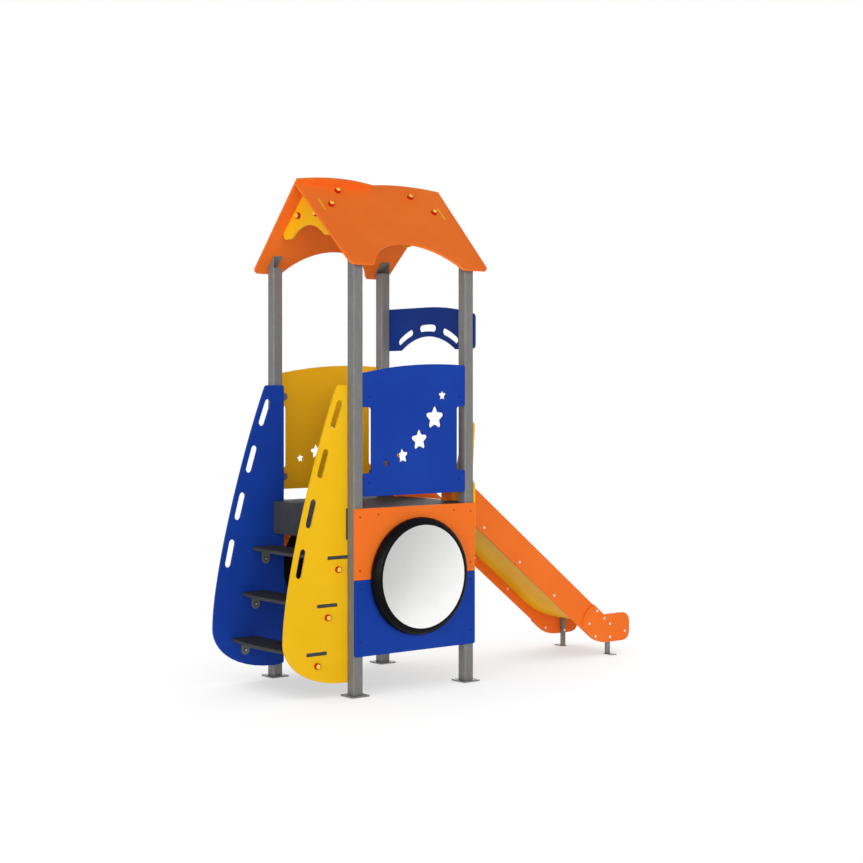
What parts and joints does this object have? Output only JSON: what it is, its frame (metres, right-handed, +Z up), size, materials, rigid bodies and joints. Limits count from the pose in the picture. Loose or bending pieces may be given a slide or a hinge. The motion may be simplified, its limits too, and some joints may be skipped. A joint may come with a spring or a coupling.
{
  "type": "multi-play structure",
  "caption": "Small roofed play tower on square posts, with steps between bowed sides, cut-out barriers, round mirror panels and a straight slide.",
  "frame": {"origin": "centre of the footprint at ground level, under the middle of the bounding box", "axes": "+X from the steps to the slide's end, +Z up, +Y across the tower to its far side"},
  "size_m": [2.556, 0.9912, 2.7261],
  "materials": {
    "galvanised_steel": "matt zinc",
    "dark_steel": "dark powder coat",
    "orange_board": "fine-grained solid board",
    "blue_board": "fine-grained solid board",
    "yellow_board": "fine-grained solid board",
    "deck_board": "dark anti-slip board",
    "slide_bed": "smooth board",
    "black_rubber": "soft sheen",
    "mirror": "polished acrylic"
  },
  "bodies": {
    "root": {"arch_board": "blue_board", "barrier_back": "yellow_board", "barrier_bracket_back_slide_lower": "dark_steel", "barrier_bracket_back_slide_upper": "dark_steel", "barrier_bracket_back_steps_lower": "dark_steel", "barrier_bracket_back_steps_upper": "dark_steel", "barrier_bracket_front_slide_lower": "dark_steel", "barrier_bracket_front_slide_upper": "dark_steel", "barrier_bracket_front_steps_lower": "dark_steel", "barrier_bracket_front_steps_upper": "dark_steel", "barrier_front": "blue_board", "deck": "deck_board", "deck_beam_back": "galvanised_steel", "deck_beam_front": "galvanised_steel", "deck_joist_slide": "galvanised_steel", "deck_joist_steps": "galvanised_steel", "gable_bracket_slide_back": "dark_steel", "gable_bracket_slide_front": "dark_steel", "gable_bracket_steps_back": "dark_steel", "gable_bracket_steps_front": "dark_steel", "gable_slide": "yellow_board", "gable_steps": "yellow_board", "lower_panel_back": "blue_board", "lower_panel_front": "blue_board", "mirror_back": "mirror", "mirror_front": "mirror", "mirror_housing_back": "black_rubber", "mirror_housing_front": "black_rubber", "post_slide_back": "galvanised_steel", "post_slide_front": "galvanised_steel", "post_steps_back": "galvanised_steel", "post_steps_front": "galvanised_steel", "ridge_bracket_slide": "dark_steel", "ridge_bracket_steps": "dark_steel", "roof_board_back": "orange_board", "roof_board_front": "orange_board", "slide_bed": "slide_bed", "slide_cheek_back": "orange_board", "slide_cheek_front": "orange_board", "slide_end_plate_back": "orange_board", "slide_end_plate_front": "orange_board", "slide_entrance": "yellow_board", "slide_leg_back": "galvanised_steel", "slide_leg_front": "galvanised_steel", "step_fascia": "deck_board", "step_side_back": "blue_board", "step_side_front": "yellow_board", "tread_1": "deck_board", "tread_2": "deck_board", "tread_3": "deck_board", "tread_bracket_1_back": "dark_steel", "tread_bracket_1_front": "dark_steel", "tread_bracket_2_back": "dark_steel", "tread_bracket_2_front": "dark_steel", "tread_bracket_3_back": "dark_steel", "tread_bracket_3_front": "dark_steel", "upper_panel_back": "orange_board", "upper_panel_front": "orange_board"}
  },
  "joints": []
}
